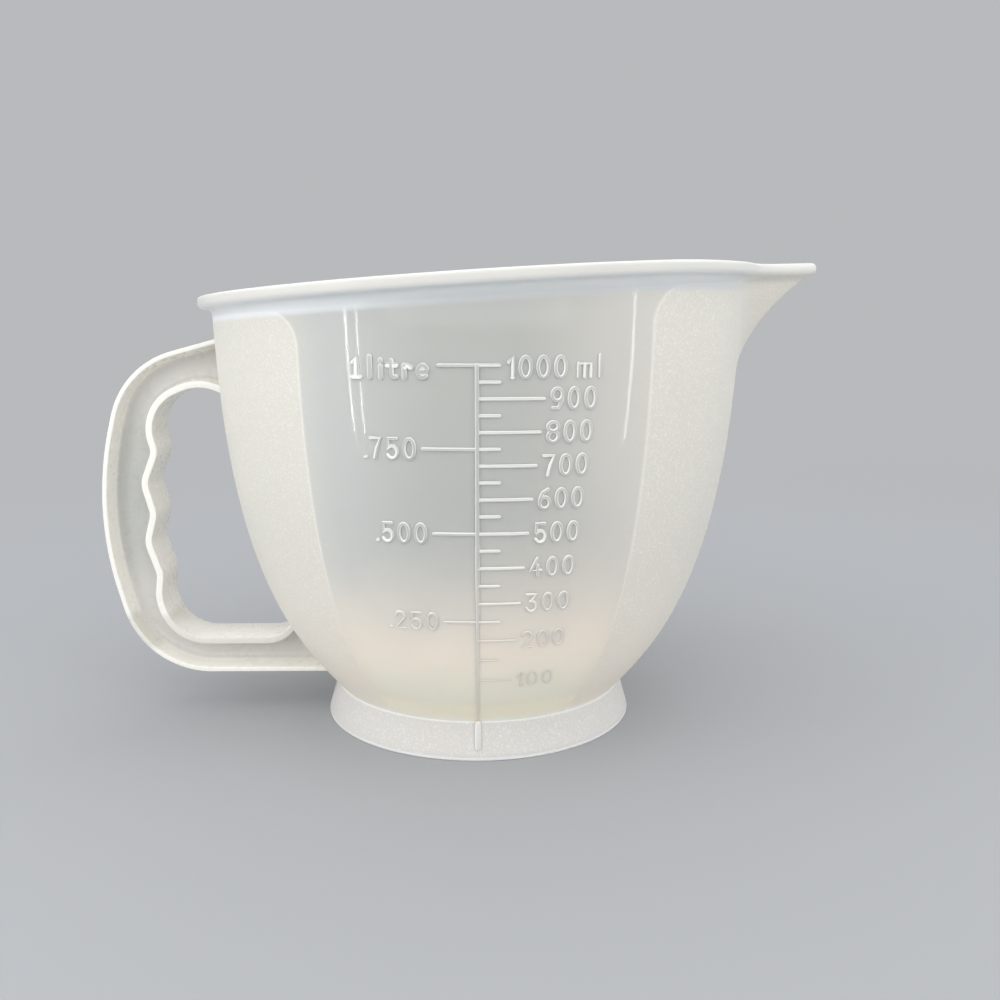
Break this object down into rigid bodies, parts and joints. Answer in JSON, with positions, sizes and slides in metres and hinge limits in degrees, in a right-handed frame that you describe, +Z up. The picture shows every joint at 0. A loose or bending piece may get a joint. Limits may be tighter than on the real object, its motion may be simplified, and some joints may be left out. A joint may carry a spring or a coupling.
{
  "type": "measuring bowl",
  "caption": "Deep round measuring bowl in translucent plastic, with a foot ring, a leaning rim, a pouring spout, a loop handle and a raised scale.",
  "frame": {"origin": "on the table, under the middle of the bounding box; the axis of the round bowl stands 5.1 mm in front of it, towards the spout", "axes": "+Z up, +X from the handle to the pouring spout, -Y to the side with the scale"},
  "size_m": [0.194, 0.146, 0.1237],
  "materials": {
    "clear_plastic": "smooth, milky, translucent polypropylene",
    "textured_plastic": "finely textured translucent polypropylene",
    "raised_scale": "smooth raised marks of the same plastic"
  },
  "bodies": {
    "root": {"foot_ring": "textured_plastic", "bowl_floor": "clear_plastic", "bowl_wall": "clear_plastic", "rim_lip": "clear_plastic", "pouring_spout": "textured_plastic", "handle_outer_flange": "clear_plastic", "handle_web": "clear_plastic", "handle_finger_grip": "clear_plastic", "scale_spine": "raised_scale", "foot_rib": "raised_scale", "mark_100": "raised_scale", "mark_150": "raised_scale", "mark_200": "raised_scale", "mark_250": "raised_scale", "mark_300": "raised_scale", "mark_350": "raised_scale", "mark_400": "raised_scale", "mark_450": "raised_scale", "mark_500": "raised_scale", "mark_550": "raised_scale", "mark_600": "raised_scale", "mark_650": "raised_scale", "mark_700": "raised_scale", "mark_750": "raised_scale", "mark_800": "raised_scale", "mark_850": "raised_scale", "mark_900": "raised_scale", "mark_950": "raised_scale", "mark_1000": "raised_scale", "litre_mark_250": "raised_scale", "litre_mark_500": "raised_scale", "litre_mark_750": "raised_scale", "litre_mark_1000": "raised_scale"}
  },
  "joints": []
}
